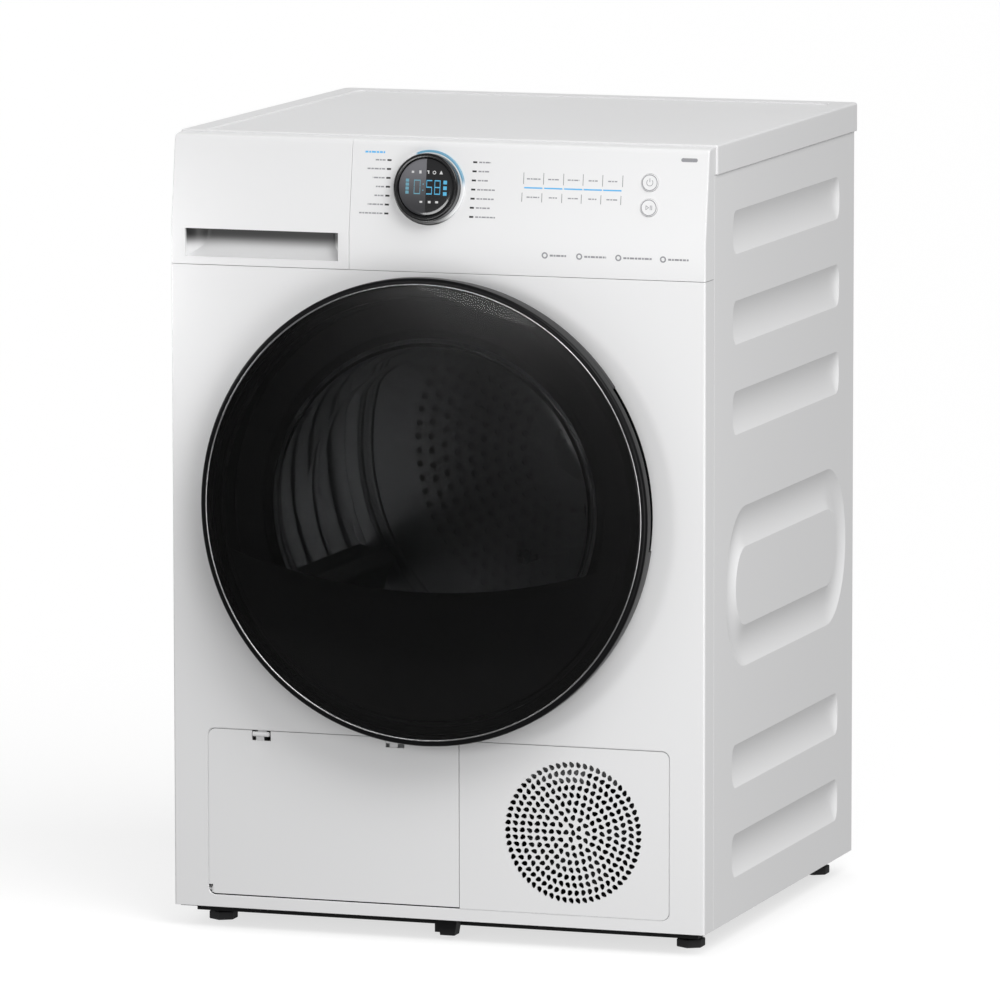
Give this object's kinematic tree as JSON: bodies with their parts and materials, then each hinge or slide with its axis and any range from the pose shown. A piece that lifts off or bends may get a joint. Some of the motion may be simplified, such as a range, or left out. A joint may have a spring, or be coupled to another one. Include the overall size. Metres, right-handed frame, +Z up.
{
  "type": "clothes dryer",
  "caption": "Free-standing front-loading heat-pump clothes dryer with a round glazed door, rotary dial with display, pull-out water tank and a service flap beside an air grille.",
  "frame": {"origin": "centre of the whole object's footprint, on the floor under the feet", "axes": "+X to the right of someone facing the door, +Y from the door to the rear panel, +Z up"},
  "size_m": [0.5986, 0.6156, 0.855],
  "materials": {
    "white_steel": "smooth white powder coat",
    "white_plastic": "satin white moulding",
    "worktop_white": "satin white with a fine grain",
    "black_gloss": "high gloss",
    "black_ring": "satin black",
    "black_plastic": "matt",
    "grey_plastic": "matt",
    "tank_plastic": "translucent",
    "drum_steel": "stainless",
    "zinc_steel": "galvanised",
    "chrome": "polished",
    "rubber": "matt",
    "dark_glass": "dark tinted",
    "clear_glass": "clear",
    "felt": "felt",
    "circuit_board": "solder mask",
    "fins": "bare",
    "cast": "black enamel",
    "display": "dark display window",
    "light_ring": "translucent, lit from behind"
  },
  "bodies": {
    "cabinet": {"worktop": "worktop_white", "side_panel_left": "white_steel", "side_panel_right": "white_steel", "front_panel": "white_steel", "rear_panel": "zinc_steel", "rear_duct_cover": "zinc_steel", "base_tray": "black_plastic", "control_fascia": "white_plastic", "knob_light_ring": "light_ring", "display_lens": "display", "control_board": "circuit_board", "tank_guide": "grey_plastic", "door_seal": "rubber", "hinge_bracket": "zinc_steel", "door_lock": "black_plastic", "front_bulkhead": "grey_plastic", "drum_front_seal": "felt", "drum_bearing": "zinc_steel", "drum_belt": "rubber", "motor": "zinc_steel", "blower_housing": "grey_plastic", "compressor": "cast", "evaporator": "fins", "condenser": "fins", "air_duct": "grey_plastic", "inner_cover": "grey_plastic", "condensate_pump": "black_plastic", "service_grille": "white_plastic", "power_inlet": "black_plastic"},
    "door": {"door_ring": "black_ring", "door_trim": "chrome", "door_glass": "dark_glass", "door_frame": "black_plastic", "door_bowl": "clear_glass", "hinge_leaf": "zinc_steel", "door_strike": "zinc_steel"},
    "water_drawer": {"tank_front": "white_plastic", "water_tank": "tank_plastic"},
    "programme_dial": {"knob": "black_gloss"},
    "power_key": {"power_button": "white_plastic"},
    "start_key": {"start_button": "white_plastic"},
    "drum": {"drum_shell": "drum_steel", "drum_rear_wall": "drum_steel", "drum_lifter_top": "grey_plastic", "drum_lifter_right": "grey_plastic", "drum_lifter_left": "grey_plastic"},
    "rotor": {"motor_pulley": "zinc_steel", "blower_wheel": "black_plastic"},
    "belt_idler": {"idler_pulley": "black_plastic"},
    "support_roller_left": {"roller_left": "rubber"},
    "support_roller_right": {"roller_right": "rubber"},
    "fan": {"cooling_fan": "black_plastic"},
    "flap": {"service_flap": "white_plastic"},
    "latch_left": {"flap_latch_left": "white_plastic"},
    "latch_right": {"flap_latch_right": "white_plastic"},
    "filter": {"lint_filter": "grey_plastic"},
    "levelling_foot_front_left": {"foot_front_left": "rubber"},
    "levelling_foot_front_right": {"foot_front_right": "rubber"},
    "levelling_foot_rear_left": {"foot_rear_left": "rubber"},
    "levelling_foot_rear_right": {"foot_rear_right": "rubber"}
  },
  "joints": [
    {"name": "door_hinge", "type": "hinge", "parent": "cabinet", "child": "door", "pos_m": [-0.243, -0.276, 0.4655], "axis": [0, 0, -1], "range_deg": [0, 115]},
    {"name": "dial_turn", "type": "hinge", "parent": "cabinet", "child": "programme_dial", "pos_m": [-0.009, -0.25097, 0.80401], "axis": [0, 0.9903, -0.1393], "continuous": true},
    {"name": "power_press", "type": "slide", "parent": "cabinet", "child": "power_key", "axis": [0, 0.9903, -0.1393], "range_m": [0, 0.0012], "stiffness_N_per_m": 500, "springref_m": -0.001},
    {"name": "start_press", "type": "slide", "parent": "cabinet", "child": "start_key", "axis": [0, 0.9903, -0.1393], "range_m": [0, 0.0012], "stiffness_N_per_m": 500, "springref_m": -0.001},
    {"name": "drawer_slide", "type": "slide", "parent": "cabinet", "child": "water_drawer", "axis": [0, -1, 0], "range_m": [0, 0.35]},
    {"name": "drum_spin", "type": "hinge", "parent": "cabinet", "child": "drum", "pos_m": [0, 0.02565, 0.4655], "axis": [0, 1, 0], "continuous": true},
    {"name": "rotor_spin", "type": "hinge", "parent": "cabinet", "child": "rotor", "pos_m": [0.02, 0.1193, 0.105], "axis": [0, 1, 0], "continuous": true},
    {"name": "idler_spin", "type": "hinge", "parent": "cabinet", "child": "belt_idler", "pos_m": [-0.04425, 0.0468, 0.12291], "axis": [0, 1, 0], "continuous": true},
    {"name": "roller_left_spin", "type": "hinge", "parent": "cabinet", "child": "support_roller_left", "pos_m": [-0.14474, -0.162, 0.19329], "axis": [0, 1, 0], "continuous": true},
    {"name": "roller_right_spin", "type": "hinge", "parent": "cabinet", "child": "support_roller_right", "pos_m": [0.14474, -0.162, 0.19329], "axis": [0, 1, 0], "continuous": true},
    {"name": "fan_spin", "type": "hinge", "parent": "cabinet", "child": "fan", "pos_m": [0.152, -0.235, 0.1253], "axis": [0, 1, 0], "continuous": true},
    {"name": "flap_hinge", "type": "hinge", "parent": "cabinet", "child": "flap", "pos_m": [0, -0.2534, 0.042], "axis": [1, 0, 0], "range_deg": [0, 85]},
    {"name": "latch_left_slide", "type": "slide", "parent": "flap", "child": "latch_left", "axis": [0, 0, -1], "range_m": [0, 0.004], "stiffness_N_per_m": 200, "springref_m": -0.004},
    {"name": "latch_right_slide", "type": "slide", "parent": "flap", "child": "latch_right", "axis": [0, 0, -1], "range_m": [0, 0.004], "stiffness_N_per_m": 200, "springref_m": -0.004},
    {"name": "filter_lift", "type": "slide", "parent": "cabinet", "child": "filter", "axis": [0, 0, 1], "range_m": [0, 0.015]},
    {"name": "foot_front_left_screw", "type": "slide", "parent": "cabinet", "child": "levelling_foot_front_left", "axis": [0, 0, -1], "range_m": [-0.004, 0.012]},
    {"name": "foot_front_right_screw", "type": "slide", "parent": "cabinet", "child": "levelling_foot_front_right", "axis": [0, 0, -1], "range_m": [-0.004, 0.012]},
    {"name": "foot_rear_left_screw", "type": "slide", "parent": "cabinet", "child": "levelling_foot_rear_left", "axis": [0, 0, -1], "range_m": [-0.004, 0.012]},
    {"name": "foot_rear_right_screw", "type": "slide", "parent": "cabinet", "child": "levelling_foot_rear_right", "axis": [0, 0, -1], "range_m": [-0.004, 0.012]}
  ],
  "couplings": [
    {"joint": "rotor_spin", "follows": "drum_spin", "ratio": 30.57},
    {"joint": "idler_spin", "follows": "drum_spin", "ratio": -20.307},
    {"joint": "roller_left_spin", "follows": "drum_spin", "ratio": -11.32},
    {"joint": "roller_right_spin", "follows": "drum_spin", "ratio": -11.32}
  ]
}
